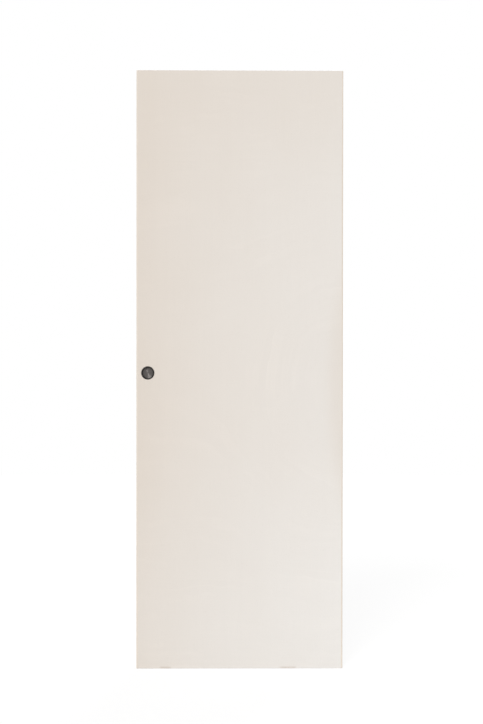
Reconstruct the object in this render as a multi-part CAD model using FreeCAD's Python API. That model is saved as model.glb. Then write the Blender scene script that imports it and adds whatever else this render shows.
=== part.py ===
import FreeCAD, Part

import math
import os

from FreeCAD import Vector

# A flush hollow core door leaf, in millimetres. The origin is the centre of the top edge, where the leaf hangs.
# +Z is up, +X is to the right seen from the front, and the front face looks along -Y.

# Leaf
LEAF_WIDTH = 730.0
LEAF_HEIGHT = 2115.0
LEAF_THICKNESS = 40.0
ARRIS_RADIUS = 2.5
EDGE_BREAK = 0.5

# Plywood skin, from the face inwards
FACE_VENEER = 0.9
CROSSBAND = 1.8
CROSSBAND_STRIPS = ("upper", "middle", "lower")
INNER_VENEER = 0.9

# Frame between the skins, and the solid strips along the two long edges
LIPPING_THICKNESS = 5.0
STILE_WIDTH = 34.0
TOP_RAIL_DEPTH = 45.0
BOTTOM_RAIL_DEPTH = 60.0

# Round flush pull, one in each face
PULL_HEIGHT = 1047.0
PULL_BACKSET = 40.0
BORE_RADIUS = 21.5
CUP_CLEARANCE = 0.1
CUP_DEPTH = 11.5
CUP_WALL = 1.2
CUP_CORNER_RADIUS = 4.0
FLANGE_OVERLAP = 2.0
FLANGE_THICKNESS = 1.5
LIP_RADIUS = 1.2
POCKET_CLEARANCE = 0.3

# Solid block that the pull is let into
BLOCK_HEIGHT = 300.0
BLOCK_MARGIN = 40.0

# Paper honeycomb
CELL_SIZE = 60.0
CELL_WALL = 1.0
CORE_CLEARANCE = 2.0

# Places that follow from the sizes
RIGHT_EDGE = LEAF_WIDTH / 2
LEFT_EDGE = -RIGHT_EDGE
BACK_FACE = LEAF_THICKNESS / 2
FRONT_FACE = -BACK_FACE
TOP_EDGE = 0.0
BOTTOM_EDGE = -LEAF_HEIGHT

PANEL_LEFT = LEFT_EDGE + LIPPING_THICKNESS
PANEL_RIGHT = RIGHT_EDGE - LIPPING_THICKNESS
SKIN_THICKNESS = FACE_VENEER + CROSSBAND + INNER_VENEER
CORE_FRONT = FRONT_FACE + SKIN_THICKNESS
CORE_BACK = BACK_FACE - SKIN_THICKNESS

LEFT_STILE_INSIDE = PANEL_LEFT + STILE_WIDTH
RIGHT_STILE_INSIDE = PANEL_RIGHT - STILE_WIDTH
TOP_RAIL_UNDERSIDE = TOP_EDGE - TOP_RAIL_DEPTH
BOTTOM_RAIL_TOP = BOTTOM_EDGE + BOTTOM_RAIL_DEPTH

PULL_X = LEFT_EDGE + PULL_BACKSET
PULL_Z = BOTTOM_EDGE + PULL_HEIGHT
POCKET_DEPTH = CUP_DEPTH + CUP_WALL + POCKET_CLEARANCE

BLOCK_RIGHT = PULL_X + BORE_RADIUS + BLOCK_MARGIN
BLOCK_TOP = PULL_Z + BLOCK_HEIGHT / 2
BLOCK_BOTTOM = PULL_Z - BLOCK_HEIGHT / 2


def block(x_from, x_to, y_from, y_to, z_from, z_to):
    """A square-edged block between two corners."""
    corner = Vector(x_from, y_from, z_from)
    return Part.makeBox(x_to - x_from, y_to - y_from, z_to - z_from, corner)


def leaf_outline():
    """The whole leaf as one block, with rounded upright arrises and broken edges at its two ends."""
    outline = block(LEFT_EDGE, RIGHT_EDGE, FRONT_FACE, BACK_FACE, BOTTOM_EDGE, TOP_EDGE)
    upright = [edge for edge in outline.Edges if edge.BoundBox.ZLength > LEAF_HEIGHT / 2]
    outline = outline.makeFillet(ARRIS_RADIUS, upright)
    ends = [edge for edge in outline.Edges if edge.BoundBox.ZLength < LEAF_HEIGHT / 2]
    return outline.makeChamfer(EDGE_BREAK, ends)


def pull_pocket(face, inwards):
    """The round blind hole that one cup sits in. inwards is +1 from the front face and -1 from the back face."""
    start = Vector(PULL_X, face, PULL_Z)
    return Part.makeCylinder(BORE_RADIUS, POCKET_DEPTH, start, Vector(0, inwards, 0))


def both_pockets():
    return [pull_pocket(FRONT_FACE, 1), pull_pocket(BACK_FACE, -1)]


def ply(face, inwards, depth, thickness, bottom=BOTTOM_EDGE, top=TOP_EDGE):
    """One ply of a skin: a sheet between the lippings, that starts at a depth below its face."""
    near = face + inwards * depth
    far = near + inwards * thickness
    sheet = block(PANEL_LEFT, PANEL_RIGHT, min(near, far), max(near, far), bottom, top)
    return sheet.cut(pull_pocket(face, inwards))


def crossband(side, face, inwards):
    """The middle ply of one skin. Its grain runs across the leaf, so it is laid in strips, edge to edge."""
    strips = {}
    strip_height = (TOP_EDGE - BOTTOM_EDGE) / len(CROSSBAND_STRIPS)
    for index, place in enumerate(CROSSBAND_STRIPS):
        top = TOP_EDGE - index * strip_height
        strips[side + "_crossband_" + place] = ply(face, inwards, FACE_VENEER, CROSSBAND, top - strip_height, top)
    return strips


def skin(side, face, inwards, outline):
    """The three plies of one skin, by name."""
    return {
        side + "_face_veneer": ply(face, inwards, 0, FACE_VENEER).common(outline),
        **crossband(side, face, inwards),
        side + "_inner_veneer": ply(face, inwards, FACE_VENEER + CROSSBAND, INNER_VENEER),
    }


def lippings(outline):
    """The solid strips on the long edges, over the full thickness of the leaf."""
    left = block(LEFT_EDGE, PANEL_LEFT, FRONT_FACE, BACK_FACE, BOTTOM_EDGE, TOP_EDGE)
    right = block(PANEL_RIGHT, RIGHT_EDGE, FRONT_FACE, BACK_FACE, BOTTOM_EDGE, TOP_EDGE)
    return {"left_lipping": left.common(outline), "right_lipping": right.common(outline)}


def frame():
    """Stiles over the full height, with the rails between them. The left stile is joined up from three lengths."""
    left = (PANEL_LEFT, LEFT_STILE_INSIDE, CORE_FRONT, CORE_BACK)
    right = (RIGHT_STILE_INSIDE, PANEL_RIGHT, CORE_FRONT, CORE_BACK)
    between = (LEFT_STILE_INSIDE, RIGHT_STILE_INSIDE, CORE_FRONT, CORE_BACK)
    return {
        "left_stile_upper": block(*left, BLOCK_TOP, TOP_EDGE),
        "left_stile_middle": block(*left, BLOCK_BOTTOM, BLOCK_TOP).cut(both_pockets()),
        "left_stile_lower": block(*left, BOTTOM_EDGE, BLOCK_BOTTOM),
        "right_stile": block(*right, BOTTOM_EDGE, TOP_EDGE),
        "top_rail": block(*between, TOP_RAIL_UNDERSIDE, TOP_EDGE),
        "bottom_rail": block(*between, BOTTOM_EDGE, BOTTOM_RAIL_TOP),
    }


def pull_block():
    """The block beside the left stile's middle length. The pockets run half into each."""
    solid = block(LEFT_STILE_INSIDE, BLOCK_RIGHT, CORE_FRONT, CORE_BACK, BLOCK_BOTTOM, BLOCK_TOP)
    return solid.cut(both_pockets())


def cell(x, z, pitch_x, pitch_z):
    """The open hexagon of one honeycomb cell, half a wall inside its bounds, with points at top and bottom."""
    half_width = pitch_x / 2
    corner = pitch_z / 3
    point = 2 * pitch_z / 3
    inset = CELL_WALL / 2
    slope = (point - corner) / half_width
    top = point - inset * math.hypot(1, slope)
    side = half_width - inset
    shoulder = top - slope * side
    outline = [(0, top), (side, shoulder), (side, -shoulder), (0, -top), (-side, -shoulder), (-side, shoulder)]
    corners = [Vector(x + dx, CORE_FRONT, z + dz) for dx, dz in outline]
    return Part.Face(Part.makePolygon(corners + corners[:1]))


def honeycomb(x_from, x_to, z_from, z_to):
    """Paper walls around hexagonal cells, stretched a little so that whole cells fill the space."""
    left, right = x_from + CORE_CLEARANCE, x_to - CORE_CLEARANCE
    bottom, top = z_from + CORE_CLEARANCE, z_to - CORE_CLEARANCE
    columns = max(1, round((right - left) / CELL_SIZE))
    rows = max(1, round((top - bottom) / (CELL_SIZE * math.sqrt(3) / 2)))
    pitch_x = (right - left) / columns
    pitch_z = (top - bottom) / rows
    corners = [
        Vector(left, CORE_FRONT, bottom),
        Vector(right, CORE_FRONT, bottom),
        Vector(right, CORE_FRONT, top),
        Vector(left, CORE_FRONT, top),
    ]
    sheet = Part.Face(Part.makePolygon(corners + corners[:1]))
    cells = []
    for row in range(rows + 1):
        # Each row is half a cell to the side of the last, and no wall lies along an edge of the sheet.
        start = left + pitch_x * (0.25 + 0.5 * (row % 2) - 1)
        for column in range(columns + 2):
            cells.append(cell(start + column * pitch_x, bottom + row * pitch_z, pitch_x, pitch_z))
    walls = sheet.cut(Part.makeCompound(cells))
    return walls.extrude(Vector(0, CORE_BACK - CORE_FRONT, 0))


def cores():
    """Three sheets of honeycomb: above, beside and below the pull block."""
    return {
        "upper_core": honeycomb(LEFT_STILE_INSIDE, RIGHT_STILE_INSIDE, BLOCK_TOP, TOP_RAIL_UNDERSIDE),
        "middle_core": honeycomb(BLOCK_RIGHT, RIGHT_STILE_INSIDE, BLOCK_BOTTOM, BLOCK_TOP),
        "lower_core": honeycomb(LEFT_STILE_INSIDE, RIGHT_STILE_INSIDE, BOTTOM_RAIL_TOP, BLOCK_BOTTOM),
    }


def arc(centre, radius, from_angle, to_angle):
    """An arc in the plane of radius and depth, between two angles in degrees."""
    middle = (from_angle + to_angle) / 2
    points = []
    for angle in (from_angle, middle, to_angle):
        turn = math.radians(angle)
        points.append(Vector(centre[0] + radius * math.cos(turn), centre[1] + radius * math.sin(turn), 0))
    return Part.Arc(*points).toShape()


def pull_cup(face, inwards):
    """A pressed metal cup with a rounded flange, turned about the pull's axis."""
    outside = BORE_RADIUS - CUP_CLEARANCE
    inside = outside - CUP_WALL
    floor = CUP_DEPTH
    underside = CUP_DEPTH + CUP_WALL
    rim = BORE_RADIUS + FLANGE_OVERLAP
    outer_corner = CUP_CORNER_RADIUS + CUP_WALL
    rounds = [
        arc((inside - CUP_CORNER_RADIUS, floor - CUP_CORNER_RADIUS), CUP_CORNER_RADIUS, 90, 0),
        arc((inside + LIP_RADIUS, LIP_RADIUS - FLANGE_THICKNESS), LIP_RADIUS, 180, 270),
        arc((rim - FLANGE_THICKNESS, 0), FLANGE_THICKNESS, -90, 0),
        arc((outside - outer_corner, underside - outer_corner), outer_corner, 0, 90),
    ]
    # The outline starts on the axis at the floor, and passes over the lip and round the flange to the underside.
    edges = [Part.makeLine(Vector(0, floor, 0), rounds[0].Vertexes[0].Point)]
    edges += [rounds[0], Part.makeLine(rounds[0].Vertexes[-1].Point, rounds[1].Vertexes[0].Point)]
    edges += [rounds[1], Part.makeLine(rounds[1].Vertexes[-1].Point, rounds[2].Vertexes[0].Point)]
    edges += [rounds[2], Part.makeLine(rounds[2].Vertexes[-1].Point, Vector(outside, 0, 0))]
    edges += [Part.makeLine(Vector(outside, 0, 0), rounds[3].Vertexes[0].Point), rounds[3]]
    edges += [Part.makeLine(rounds[3].Vertexes[-1].Point, Vector(0, underside, 0))]
    edges += [Part.makeLine(Vector(0, underside, 0), Vector(0, floor, 0))]
    outline = Part.Face(Part.Wire(edges))
    cup = outline.revolve(Vector(0, 0, 0), Vector(0, 1, 0), 360)
    if inwards < 0:
        cup = cup.mirror(Vector(0, 0, 0), Vector(0, 1, 0))
    cup.translate(Vector(PULL_X, face, PULL_Z))
    return cup


def all_pieces():
    outline = leaf_outline()
    pieces = {}
    pieces.update(skin("front", FRONT_FACE, 1, outline))
    pieces.update(skin("back", BACK_FACE, -1, outline))
    pieces.update(lippings(outline))
    pieces.update(frame())
    pieces["pull_block"] = pull_block()
    pieces.update(cores())
    pieces["front_pull_cup"] = pull_cup(FRONT_FACE, 1)
    pieces["back_pull_cup"] = pull_cup(BACK_FACE, -1)
    return pieces


os.makedirs("parts", exist_ok=True)
for name, shape in all_pieces().items():
    if not shape.isValid():
        raise ValueError(name + " is not a valid solid")
    shape.exportStep("parts/" + name + ".step")
    print(name, len(shape.Solids), "solid", round(shape.Volume / 1000, 1), "cm3")
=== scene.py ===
import math

import bpy
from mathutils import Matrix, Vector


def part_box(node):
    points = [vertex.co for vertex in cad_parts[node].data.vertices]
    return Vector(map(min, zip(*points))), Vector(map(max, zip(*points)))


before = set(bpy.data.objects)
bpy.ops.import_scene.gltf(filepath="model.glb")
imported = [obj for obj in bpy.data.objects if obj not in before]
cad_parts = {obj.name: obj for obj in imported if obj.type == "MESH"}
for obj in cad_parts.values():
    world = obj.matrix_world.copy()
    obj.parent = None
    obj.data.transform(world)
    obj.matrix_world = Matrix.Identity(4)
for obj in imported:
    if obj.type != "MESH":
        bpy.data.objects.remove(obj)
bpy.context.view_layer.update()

# The leaf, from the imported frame. Lengths are in metres.
leaf_low, leaf_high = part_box("left_lipping")
panel_low, panel_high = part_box("front_face_veneer")
cup_low, cup_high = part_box("front_pull_cup")
LEAF_SIDE = -leaf_low.x
LEAF_FACE = leaf_high.y
LEAF_BOTTOM = leaf_low.z
PANEL_LEFT = panel_low.x
PANEL_WIDTH = panel_high.x - panel_low.x
PULL_X = (cup_low.x + cup_high.x) / 2
PULL_Z = (cup_low.z + cup_high.z) / 2
PULL_RADIUS = (cup_high.x - cup_low.x) / 2


class Nodes:
    """A tree of shader nodes, built by short calls."""

    def __init__(self, tree):
        self.tree = tree

    def node(self, kind, **settings):
        made = self.tree.nodes.new(kind)
        for setting, value in settings.items():
            setattr(made, setting, value)
        return made

    def feed(self, socket, value):
        """Puts a number, a colour or another node's output into a socket."""
        if isinstance(value, bpy.types.NodeSocket):
            self.tree.links.new(value, socket)
        else:
            socket.default_value = value

    def math(self, operation, *values, clamp=False):
        made = self.node("ShaderNodeMath", operation=operation, use_clamp=clamp)
        for socket, value in zip(made.inputs, values):
            self.feed(socket, value)
        return made.outputs[0]

    def chain(self, operation, values):
        result = values[0]
        for value in values[1:]:
            result = self.math(operation, result, value)
        return result

    def total(self, *values):
        return self.chain("ADD", values)

    def product(self, *values):
        return self.chain("MULTIPLY", values)

    def difference(self, first, second):
        return self.math("SUBTRACT", first, second)

    def share(self, value, start, length):
        """How far a value is past a start, as a share of a length."""
        return self.math("DIVIDE", self.difference(value, start), length)

    def distance(self, *lengths):
        """The distance that lengths along square axes add up to."""
        squares = [self.product(length, length) for length in lengths]
        return self.math("SQRT", self.total(*squares))

    def swing(self, value, amount):
        """A value from 0 to 1 turned into one from minus to plus half an amount."""
        return self.product(self.difference(value, 0.5), amount)

    def around(self, middle, value, amount):
        """A middle number that a value from 0 to 1 swings up and down."""
        return self.total(self.swing(value, amount), middle)

    def ramp(self, value, limits, results=(0.0, 1.0)):
        """Goes smoothly from the first result to the second as its input passes between two limits."""
        made = self.node("ShaderNodeMapRange", interpolation_type="SMOOTHSTEP")
        for socket, number in zip(made.inputs, (value, *limits, *results)):
            self.feed(socket, number)
        return made.outputs[0]

    def place(self):
        """The point itself, in the leaf's frame."""
        return self.node("ShaderNodeTexCoord").outputs["Object"]

    def parts(self, vector):
        made = self.node("ShaderNodeSeparateXYZ")
        self.feed(made.inputs[0], vector)
        return made.outputs

    def scaled(self, vector, factors):
        made = self.node("ShaderNodeVectorMath", operation="MULTIPLY")
        self.feed(made.inputs[0], vector)
        made.inputs[1].default_value = factors
        return made.outputs[0]

    def noise(self, vector, scale=1.0, detail=2.0, roughness=0.5, seed=0.0):
        """Smooth noise from 0 to 1, with so many waves in a unit of its vector."""
        made = self.node("ShaderNodeTexNoise", noise_dimensions="4D")
        self.feed(made.inputs["Vector"], vector)
        made.inputs["W"].default_value = seed
        made.inputs["Scale"].default_value = scale
        made.inputs["Detail"].default_value = detail
        made.inputs["Roughness"].default_value = roughness
        return made.outputs[0]

    def line_noise(self, value, scale, detail=2.0, roughness=0.5, seed=0.0):
        """Noise that changes with one value alone."""
        made = self.node("ShaderNodeCombineXYZ")
        self.feed(made.inputs[0], value)
        return self.noise(made.outputs[0], scale, detail, roughness, seed)

    def blend(self, share, first, second):
        made = self.node("ShaderNodeMix", data_type="RGBA")
        self.feed(made.inputs[0], share)
        self.feed(made.inputs[6], first)
        self.feed(made.inputs[7], second)
        return made.outputs[2]

    def shade(self, colour, *amounts):
        """The colour times one plus each amount."""
        for amount in amounts:
            factor = self.total(amount, 1.0)
            made = self.node("ShaderNodeVectorMath", operation="SCALE")
            self.feed(made.inputs[0], colour)
            self.feed(made.inputs["Scale"], factor)
            colour = made.outputs[0]
        return colour


class Finish(Nodes):
    """The nodes of a new material."""

    def __init__(self, name):
        self.material = bpy.data.materials.new(name)
        self.material.use_nodes = True
        super().__init__(self.material.node_tree)
        self.tree.nodes.clear()

    def end(self, shader):
        output = self.node("ShaderNodeOutputMaterial")
        self.feed(output.inputs["Surface"], shader)
        return self.material

    def surface(self, colour, roughness, height, relief, **settings):
        """Ends the material. height is from 0 to 1, and relief is its real depth in metres."""
        bump = self.node("ShaderNodeBump")
        bump.inputs["Distance"].default_value = relief
        self.feed(bump.inputs["Height"], height)
        shader = self.node("ShaderNodeBsdfPrincipled")
        self.feed(shader.inputs["Base Color"], colour)
        self.feed(shader.inputs["Roughness"], roughness)
        self.feed(shader.inputs["Normal"], bump.outputs[0])
        for name, value in settings.items():
            self.feed(shader.inputs[name.replace("_", " ").title()], value)
        return self.end(shader.outputs[0])


def from_screen(red, green, blue):
    """A colour as it shows on screen, from 0 to 255, as the shader's linear colour."""
    linear = []
    for level in (red, green, blue):
        share = level / 255
        linear.append(share / 12.92 if share <= 0.04045 else ((share + 0.055) / 1.055) ** 2.4)
    return (*linear, 1.0)


# Face veneer. Its fibres run up the sheet. WAVES are waves a metre along x, y and z here and below.
VENEER_WARM = from_screen(225, 215, 204)
VENEER_PALE = from_screen(237, 233, 228)
VENEER_PORE = from_screen(188, 170, 150)
VENEER_ROUGHNESS = 0.50
VENEER_RELIEF = 0.00006
FIBRE_WAVES = (900.0, 900.0, 14.0)
PORE_WAVES = (2600.0, 2600.0, 110.0)
STREAK_WAVES = (55.0, 55.0, 1.3)
PORE_SHARE = 0.35

# The hearts of the two sheets, as x and z, a little outside the leaf's long edges
FRONT_HEART = (LEAF_SIDE + 0.095, LEAF_BOTTOM + 0.990)
BACK_HEART = (-LEAF_SIDE - 0.105, LEAF_BOTTOM + 1.415)

# The ovals of figure round a heart, and how far they drift and ripple up and down
OVAL_HALF_WIDTH = 0.30
OVAL_HALF_HEIGHT = 0.46
OVAL_SQUARENESS = 2.4
DRIFT_WAVES = (2.2, 2.2, 5.0)
DRIFT = 0.16
RIPPLES_TO_A_DRIFT = 6.0
RIPPLE = 0.04

# Wisps and bands follow noise along the log's depth, with so many waves in a unit of it. A wisp starts
# sharply where the noise reaches its edge, and fades out as the noise rises by the wisp's tail.
COARSE_WISPS = 3.4
COARSE_TAIL = 0.07
FINE_WISPS = 9.0
FINE_TAIL = 0.10
WISP_EDGE = 0.50
WISP_SHARPNESS = 0.004
WISP_PATCH_WAVES = (4.0, 4.0, 7.0)
BANDS = 7.0

# How much each feature lightens or darkens the sheet
WISP_SHADE = 0.013
BAND_SHADE = 0.020
STREAK_SHADE = 0.016
FIBRE_SHADE = 0.05
HEART_SHADE = -0.008
FOOT_SHADE = -0.012

# The sheet's tone goes from warm at 0 to pale at 1. The warm oval's tone is taken off, and the rest added.
WARM_HALF_WIDTH = 0.175
WARM_HALF_HEIGHT = 0.62
WARM_TONE_INSIDE = 0.42
WARM_TONE_OUTSIDE = 0.06
RIGHT_TONE_TOP = 0.50
RIGHT_TONE_BELOW = 0.67
UPPER_TONE = 0.14
LOWER_TONE = 0.32
MOTTLE_TONE = 0.20
MOTTLE_WAVES = (5.0, 5.0, 3.0)

# Scuffs. Each has its middle along the bottom edge and half its length. They fade out between two shares of
# that half length and between two heights, which wander.
SCUFF_BROWN = from_screen(196, 178, 162)
SCUFFS = ((-0.263, 0.020), (0.172, 0.030))
SCUFF_ENDS = (0.6, 1.2)
SCUFF_HEIGHTS = (0.002, 0.011)
SCUFF_WANDER = 0.006
SCUFF_WAVES = 260.0
SCUFF_SHARE = 0.8


def fine_grain(finish, place, seed):
    """Fibres and pores that run up the sheet, as two values from 0 to 1."""
    fibre = finish.noise(finish.scaled(place, FIBRE_WAVES), detail=3.0, roughness=0.6, seed=seed)
    strand = finish.noise(finish.scaled(place, PORE_WAVES), detail=1.0, seed=seed + 3.0)
    return fibre, finish.ramp(strand, (0.66, 0.72))


def log_depth(finish, place, heart, seed):
    """How deep in the log each point of the peeled sheet was. Its level lines are the veneer's figure:
    ovals around a heart, which flatten out into bands across the sheet away from it."""
    heart_x, heart_z = heart
    wander = finish.scaled(place, DRIFT_WAVES)
    drift = finish.swing(finish.noise(wander, detail=3.0, seed=seed), DRIFT)
    ripple = finish.swing(finish.noise(wander, RIPPLES_TO_A_DRIFT, detail=3.0, seed=seed + 5.0), RIPPLE)
    x, y, z = finish.parts(place)
    across = finish.share(x, heart_x, OVAL_HALF_WIDTH)
    side = finish.difference(1.0, finish.math("EXPONENT", finish.product(across, across, -1.0)))
    shifted = finish.total(finish.difference(z, heart_z), finish.total(drift, ripple))
    along = finish.math("ABSOLUTE", finish.math("DIVIDE", shifted, OVAL_HALF_HEIGHT))
    powers = [finish.math("POWER", value, OVAL_SQUARENESS) for value in (along, side)]
    return finish.math("POWER", finish.total(*powers), 1.0 / OVAL_SQUARENESS)


def wisps(finish, depth, waves, tail, seed):
    """Pale wisps where the knife crossed a growth ring, sharp on one side and soft on the other."""
    wave = finish.line_noise(depth, waves, detail=1.0, seed=seed)
    sharp = finish.ramp(wave, (WISP_EDGE - WISP_SHARPNESS, WISP_EDGE))
    soft = finish.ramp(wave, (WISP_EDGE, WISP_EDGE + tail), (1.0, 0.0))
    return finish.product(sharp, soft)


def veneer_figure(finish, place, depth, seed):
    """How much the wisps and the bands change the colour. Both are faint near the heart."""
    coarse = wisps(finish, depth, COARSE_WISPS, COARSE_TAIL, seed + 2.0)
    fine = wisps(finish, depth, FINE_WISPS, FINE_TAIL, seed + 4.0)
    patch = finish.noise(finish.scaled(place, WISP_PATCH_WAVES), detail=3.0, seed=seed + 4.0)
    shown = finish.ramp(patch, (0.42, 0.68))
    band = finish.line_noise(depth, BANDS, detail=4.0, roughness=0.6, seed=seed + 1.0)
    clear = finish.ramp(depth, (0.2, 0.8), (0.25, 1.0))
    pale = finish.product(finish.total(coarse, fine), shown, WISP_SHADE, clear)
    return pale, finish.product(finish.swing(band, BAND_SHADE), clear)


def sheet_tone(finish, place, heart, down, seed):
    """How pale the sheet is, from 0 to 1. It is warmer at its upper left and near the heart, and paler at
    its lower right. down is how far down the leaf each point is, from 0 to 1."""
    heart_x, heart_z = heart
    x, y, z = finish.parts(place)
    beside = finish.share(x, heart_x, WARM_HALF_WIDTH)
    above = finish.share(z, heart_z, WARM_HALF_HEIGHT)
    warm = finish.ramp(finish.distance(beside, above), (0.6, 1.0), (WARM_TONE_INSIDE, WARM_TONE_OUTSIDE))
    right = finish.share(x, PANEL_LEFT, PANEL_WIDTH)
    right_tone = finish.ramp(down, (0.0, 0.4), (RIGHT_TONE_TOP, RIGHT_TONE_BELOW))
    across = finish.product(finish.math("POWER", right, 0.7), right_tone)
    upper = finish.ramp(down, (0.0, 0.25), (0.0, UPPER_TONE))
    upper_right = finish.product(upper, finish.ramp(right, (0.0, 0.4), (0.4, 1.0)))
    lower = finish.ramp(down, (0.55, 1.0), (0.0, LOWER_TONE))
    mottle = finish.noise(finish.scaled(place, MOTTLE_WAVES), detail=3.0, seed=seed + 6.0)
    tone = finish.total(finish.difference(across, warm), upper_right, lower)
    return finish.math("ADD", tone, finish.swing(mottle, MOTTLE_TONE), clamp=True)


def scuffs(finish, place):
    """Rubbed spots on the bottom arris, from 0 to 1, under two places where the leaf was stood down."""
    x, y, z = finish.parts(place)
    rub = finish.noise(place, SCUFF_WAVES, detail=3.0, seed=8.0)
    height = finish.total(finish.difference(z, LEAF_BOTTOM), finish.swing(rub, SCUFF_WANDER))
    low = finish.ramp(height, SCUFF_HEIGHTS, (1.0, 0.0))
    spots = []
    for middle, half_length in SCUFFS:
        away = finish.math("ABSOLUTE", finish.difference(x, middle))
        ends = [half_length * share for share in SCUFF_ENDS]
        spots.append(finish.ramp(away, ends, (1.0, 0.0)))
    return finish.math("MULTIPLY", finish.product(finish.total(*spots), low), rub, clamp=True)


def face_veneer(name, heart, seed):
    """Pale peeled veneer with a thin matt finish, a little darker at the sheet's heart and foot."""
    finish = Finish(name)
    place = finish.place()
    x, y, z = finish.parts(place)
    down = finish.math("DIVIDE", z, LEAF_BOTTOM)
    depth = log_depth(finish, place, heart, seed)
    fibre, pore = fine_grain(finish, place, seed)
    streak = finish.noise(finish.scaled(place, STREAK_WAVES), detail=2.0, seed=seed + 7.0)
    colour = finish.blend(sheet_tone(finish, place, heart, down, seed), VENEER_WARM, VENEER_PALE)
    colour = finish.shade(
        colour,
        finish.ramp(depth, (0.45, 0.75), (HEART_SHADE, 0.0)),
        finish.ramp(down, (0.92, 1.0), (0.0, FOOT_SHADE)),
        *veneer_figure(finish, place, depth, seed),
        finish.swing(streak, STREAK_SHADE),
        finish.swing(fibre, FIBRE_SHADE),
    )
    colour = finish.blend(finish.product(pore, PORE_SHARE), colour, VENEER_PORE)
    colour = finish.blend(finish.product(scuffs(finish, place), SCUFF_SHARE), colour, SCUFF_BROWN)
    roughness = finish.around(VENEER_ROUGHNESS, fibre, 0.12)
    height = finish.difference(fibre, finish.product(pore, 0.8))
    return finish.surface(colour, roughness, height, VENEER_RELIEF)


# Axis numbers, for the way that a piece's grain runs
ACROSS = 0
UPRIGHT = 2
AXES = (0, 1, 2)


def grain_waves(grain, along, across):
    """Waves a metre on the three axes, for grain that runs along one of them."""
    return [along if axis == grain else across for axis in AXES]


# Inner plies
PLY_PALE = from_screen(216, 196, 168)
PLY_DARK = from_screen(188, 158, 122)
PLY_ROUGHNESS = 0.72
PLY_RELIEF = 0.0001
PLY_PATCH_WAVES = 18.0


def ply(name, grain, seed):
    """An inner ply, which shows only as a line on the leaf's ends."""
    finish = Finish(name)
    place = finish.place()
    waves = grain_waves(grain, along=30.0, across=1400.0)
    fibre = finish.noise(finish.scaled(place, waves), detail=4.0, roughness=0.65, seed=seed)
    patch = finish.noise(place, PLY_PATCH_WAVES, detail=2.0, seed=seed + 1.0)
    colour = finish.blend(finish.ramp(fibre, (0.35, 0.65)), PLY_PALE, PLY_DARK)
    colour = finish.shade(colour, finish.swing(patch, 0.12))
    return finish.surface(colour, finish.around(PLY_ROUGHNESS, fibre, 0.15), fibre, PLY_RELIEF)


# Sawn wood: the pine of the frame, and the finer wood of the lippings
PINE_EARLY = from_screen(226, 204, 168)
PINE_LATE = from_screen(196, 158, 114)
PINE_CONTRAST = 0.8
PINE_RELIEF = 0.0001
LIPPING_PALE = from_screen(232, 222, 211)
LIPPING_DARK = from_screen(222, 209, 193)
LIPPING_CONTRAST = 0.5
LIPPING_RELIEF = 0.00005
SAWN_ROUGHNESS = 0.60
SAWN_PATCH_WAVES = 7.0

# Within a growth ring the latewood darkens slowly and ends sharply, at these shares of the ring's width.
# The rings wander by a few of their widths.
LATEWOOD_RISE = (0.35, 0.92)
LATEWOOD_FALL = (0.96, 1.0)
RING_WANDER = 0.030

# How far in from the leaf's sides and faces the rubbed arris starts, and how far in it is full
LIPPING_ARRIS = from_screen(220, 200, 171)
ARRIS_START = 0.0021
ARRIS_FULL = 0.0004
ARRIS_WAVES = (60.0, 60.0, 9.0)


def arris_wear(finish, place):
    """The rubbed rounded edges of the two long sides, from 0 to 1."""
    rub = finish.noise(finish.scaled(place, ARRIS_WAVES), detail=3.0, seed=9.0)
    x, y, z = finish.parts(place)
    shares = [finish.ramp(rub, (0.25, 0.60), (0.5, 1.0))]
    for value, reach in ((x, LEAF_SIDE), (y, LEAF_FACE)):
        limits = (reach - ARRIS_START, reach - ARRIS_FULL)
        shares.append(finish.ramp(finish.math("ABSOLUTE", value), limits))
    return finish.product(*shares)


def growth_rings(finish, place, grain, pith, ring_width, seed):
    """The latewood of each growth ring, from 0 to 1. The rings are shells around a pith line beside the
    piece, so that ends show arcs and sides show lines."""
    coordinates = finish.parts(place)
    waves = grain_waves(grain, along=1.5, across=12.0)
    wander = finish.swing(finish.noise(finish.scaled(place, waves), detail=3.0, seed=seed), RING_WANDER)
    sideways = [finish.difference(coordinates[axis], pith[axis]) for axis in AXES if axis != grain]
    radius = finish.total(finish.distance(*sideways), wander)
    ring = finish.math("FRACT", finish.math("DIVIDE", radius, ring_width))
    return finish.product(finish.ramp(ring, LATEWOOD_RISE), finish.ramp(ring, LATEWOOD_FALL, (1.0, 0.0)))


def sawn_wood(name, grain, pith, ring_width, colours, contrast, relief, seed, worn=None):
    """Sawn wood with its grain along one axis. colours are its earlywood and its latewood, and worn is the
    colour of its rubbed arrises."""
    finish = Finish(name)
    place = finish.place()
    latewood = growth_rings(finish, place, grain, pith, ring_width, seed)
    waves = grain_waves(grain, along=18.0, across=1600.0)
    fibre = finish.noise(finish.scaled(place, waves), detail=3.0, roughness=0.6, seed=seed + 2.0)
    patch = finish.noise(place, SAWN_PATCH_WAVES, detail=2.0, seed=seed + 3.0)
    colour = finish.blend(finish.product(latewood, contrast), *colours)
    colour = finish.shade(colour, finish.swing(fibre, 0.10), finish.swing(patch, 0.06))
    if worn:
        colour = finish.blend(arris_wear(finish, place), colour, worn)
    height = finish.total(finish.product(fibre, 0.7), finish.product(latewood, 0.3))
    return finish.surface(colour, finish.around(SAWN_ROUGHNESS, fibre, 0.16), height, relief)


# Honeycomb paper
PAPER_BROWN = from_screen(186, 158, 122)
PAPER_FIBRE = from_screen(160, 130, 96)
PAPER_ROUGHNESS = 0.85
PAPER_RELIEF = 0.00008
PAPER_FIBRE_WAVES = 900.0
PAPER_CLOUD_WAVES = 40.0


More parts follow.
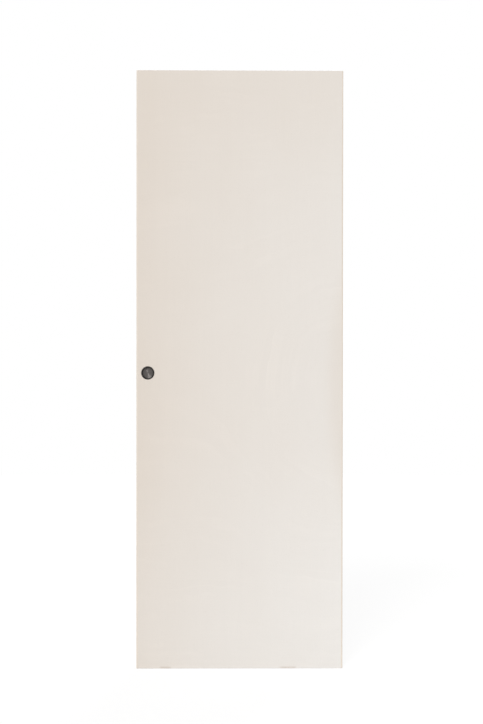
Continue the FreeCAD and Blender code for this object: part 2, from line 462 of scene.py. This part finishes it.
def honeycomb_paper(name):
    """Brown paper with long fibres, for the walls of the core."""
    finish = Finish(name)
    place = finish.place()
    fibre = finish.noise(place, PAPER_FIBRE_WAVES, detail=4.0, roughness=0.7, seed=2.0)
    cloud = finish.noise(place, PAPER_CLOUD_WAVES, detail=2.0, seed=5.0)
    colour = finish.blend(finish.ramp(fibre, (0.45, 0.70)), PAPER_BROWN, PAPER_FIBRE)
    colour = finish.shade(colour, finish.swing(cloud, 0.15))
    return finish.surface(colour, finish.around(PAPER_ROUGHNESS, fibre, 0.1), fibre, PAPER_RELIEF)


# Turned metal. Its grooves are waves outward from the pull's axis. Its floor ends between two distances,
# and beyond them its wall and rim get a painted shade.
METAL_PAINTED_SHADE = (0.056, 0.052, 0.050, 1.0)
METAL_FLOOR = (0.171, 0.157, 0.150, 1.0)
METAL_ROUGHNESS = 0.46
METAL_FLOOR_EDGE = (PULL_RADIUS * 0.70, PULL_RADIUS * 0.82)
WIPE_WAVES = 160.0
GROOVE_WAVES = 4200.0
GROOVE_RELIEF = 0.00002


def turned_metal(name):
    """Dark metal turned on a lathe, with fine grooves around the pull's axis. Its wall and rim are painted
    darker than its floor: painted shade in the cup.
    """
    finish = Finish(name)
    place = finish.place()
    x, y, z = finish.parts(place)
    radius = finish.distance(finish.difference(x, PULL_X), finish.difference(z, PULL_Z))
    groove = finish.line_noise(radius, GROOVE_WAVES, detail=2.0, roughness=0.6, seed=1.0)
    wipe = finish.noise(place, WIPE_WAVES, detail=3.0, seed=4.0)
    # Painted shade: the wall and rim are darker than the floor, as if shaded in the cup's recess.
    colour = finish.blend(finish.ramp(radius, METAL_FLOOR_EDGE, (1.0, 0.0)), METAL_PAINTED_SHADE, METAL_FLOOR)
    colour = finish.shade(colour, finish.swing(wipe, 0.35), finish.swing(groove, 0.30))
    tangent = finish.node("ShaderNodeTangent", direction_type="RADIAL", axis="Y")
    return finish.surface(
        colour,
        finish.around(METAL_ROUGHNESS, wipe, 0.08),
        groove,
        GROOVE_RELIEF,
        metallic=1.0,
        anisotropic=0.95,
        anisotropic_rotation=0.25,
        tangent=tangent.outputs[0],
    )


def dress(material, *names):
    """Gives CAD nodes their finish."""
    for name in names:
        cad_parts[name].material_slots[0].material = material


def dress_skins():
    dress(face_veneer("front_veneer", FRONT_HEART, seed=0.0), "front_face_veneer")
    dress(face_veneer("back_veneer", BACK_HEART, seed=20.0), "back_face_veneer")
    crossband = ply("crossband_ply", ACROSS, seed=11.0)
    inner = ply("inner_ply", UPRIGHT, seed=12.0)
    for side in ("front", "back"):
        for strip in ("upper", "middle", "lower"):
            dress(crossband, side + "_crossband_" + strip)
        dress(inner, side + "_inner_veneer")


def dress_lippings():
    lipping = sawn_wood(
        "lipping_wood",
        UPRIGHT,
        pith=(0.0, 0.35, 0.0),
        ring_width=0.0022,
        colours=(LIPPING_PALE, LIPPING_DARK),
        contrast=LIPPING_CONTRAST,
        relief=LIPPING_RELIEF,
        seed=30.0,
        worn=LIPPING_ARRIS,
    )
    dress(lipping, "left_lipping", "right_lipping")


def dress_softwood():
    """The frame and the block. Each row is a finish, with its grain, pith, ring width, seed and pieces."""
    stiles = ("left_stile_upper", "left_stile_middle", "left_stile_lower", "right_stile")
    bottom_pith = (0.0, 0.05, LEAF_BOTTOM + 0.10)
    rows = (
        ("stile_pine", UPRIGHT, (0.0, 0.055, 0.0), 0.0035, 40.0, stiles),
        ("top_rail_pine", ACROSS, (0.0, -0.06, -0.09), 0.0032, 50.0, ("top_rail",)),
        ("bottom_rail_pine", ACROSS, bottom_pith, 0.0038, 60.0, ("bottom_rail",)),
        ("block_pine", UPRIGHT, (-0.36, 0.04, 0.0), 0.0034, 70.0, ("pull_block",)),
    )
    colours = (PINE_EARLY, PINE_LATE)
    for name, grain, pith, ring_width, seed, pieces in rows:
        pine = sawn_wood(name, grain, pith, ring_width, colours, PINE_CONTRAST, PINE_RELIEF, seed)
        dress(pine, *pieces)


# Floor. It lies a hair below the leaf, so that the two share no plane.
FLOOR_SIZE = 14.0
FLOOR_GAP = 0.0003
FLOOR_COLOUR = (0.80, 0.80, 0.80, 1.0)
FLOOR_SEEN_COLOUR = (0.25, 0.25, 0.25, 1.0)
FLOOR_SEEN_GLOW = 0.785

# Light. The even light and the key light together give a flat front surface a level of about one, and a
# weaker light on the far side keeps the back face from looking grey. The angles are in degrees.
EVEN_LIGHT = 0.562
KEY_STRENGTH = 1.39
BACK_STRENGTH = 0.80
LIGHT_SPREAD = 24.0
LIGHT_RISE = 35.0
LIGHT_SWING = 20.0

# Camera. It stands in front of the leaf at about half its height, and was fitted to the leaf's corners.
# Its sensor is in millimetres, its place in metres and its angles in degrees.
PHOTO_HEIGHT = 724
FOCAL_PIXELS = 1272.4
SENSOR_HEIGHT = 24.0
CAMERA_PLACE = (-0.041, -4.52, -0.992)
CAMERA_TILT = -0.4725
CAMERA_ROLL = -0.0566
CAMERA_PAN = -0.6012


def seen_share(nodes):
    """One for camera, glossy and transmission rays, and nothing for the rays that carry light."""
    path = nodes.node("ShaderNodeLightPath")
    kinds = ("Is Camera Ray", "Is Glossy Ray", "Is Transmission Ray")
    return nodes.chain("MAXIMUM", [path.outputs[kind] for kind in kinds])


def make_floor():
    """A pale floor under the leaf. Where it is seen it glows a little, so that it is white but keeps the
    leaf's shadow."""
    bpy.ops.mesh.primitive_plane_add(size=FLOOR_SIZE, location=(0.0, 0.0, LEAF_BOTTOM - FLOOR_GAP))
    floor = bpy.context.object
    floor.name = "floor"
    finish = Finish("floor_white")
    plain = finish.node("ShaderNodeBsdfDiffuse")
    plain.inputs["Color"].default_value = FLOOR_COLOUR
    seen = finish.node("ShaderNodeBsdfDiffuse")
    seen.inputs["Color"].default_value = FLOOR_SEEN_COLOUR
    glow = finish.node("ShaderNodeEmission")
    glow.inputs["Strength"].default_value = FLOOR_SEEN_GLOW
    lit = finish.node("ShaderNodeAddShader")
    finish.feed(lit.inputs[0], seen.outputs[0])
    finish.feed(lit.inputs[1], glow.outputs[0])
    choice = finish.node("ShaderNodeMixShader")
    finish.feed(choice.inputs[0], seen_share(finish))
    finish.feed(choice.inputs[1], plain.outputs[0])
    finish.feed(choice.inputs[2], lit.outputs[0])
    floor.data.materials.append(finish.end(choice.outputs[0]))


def make_world():
    """An even white room. It is seen as white, and lights the leaf a little less than that."""
    world = bpy.data.worlds.new("white_room")
    world.use_nodes = True
    bpy.context.scene.world = world
    room = Nodes(world.node_tree)
    background = world.node_tree.nodes["Background"]
    background.inputs["Color"].default_value = (1.0, 1.0, 1.0, 1.0)
    strength = room.ramp(seen_share(room), (0.0, 1.0), (EVEN_LIGHT, 1.0))
    room.feed(background.inputs["Strength"], strength)


def make_soft_light(name, strength, turn):
    """A broad soft light from above and a little to the left, as seen from the side that it lights."""
    light = bpy.data.lights.new(name, "SUN")
    light.energy = strength
    light.angle = math.radians(LIGHT_SPREAD)
    lamp = bpy.data.objects.new(name, light)
    lamp.rotation_euler = (math.radians(90.0 - LIGHT_RISE), 0.0, math.radians(turn - LIGHT_SWING))
    bpy.context.scene.collection.objects.link(lamp)


def make_camera():
    data = bpy.data.cameras.new("camera")
    data.sensor_fit = "VERTICAL"
    data.sensor_height = SENSOR_HEIGHT
    data.lens = FOCAL_PIXELS * SENSOR_HEIGHT / PHOTO_HEIGHT
    camera = bpy.data.objects.new("camera", data)
    camera.location = CAMERA_PLACE
    angles = (90.0 + CAMERA_TILT, CAMERA_ROLL, CAMERA_PAN)
    camera.rotation_euler = [math.radians(angle) for angle in angles]
    bpy.context.scene.collection.objects.link(camera)
    bpy.context.scene.camera = camera


make_camera()
make_world()
make_soft_light("key_light", KEY_STRENGTH, turn=0.0)
make_soft_light("back_light", BACK_STRENGTH, turn=180.0)
make_floor()
dress_skins()
dress_lippings()
dress_softwood()
dress(honeycomb_paper("core_paper"), "upper_core", "middle_core", "lower_core")
dress(turned_metal("turned_dark_metal"), "front_pull_cup", "back_pull_cup")
bpy.context.scene.view_settings.view_transform = "Standard"
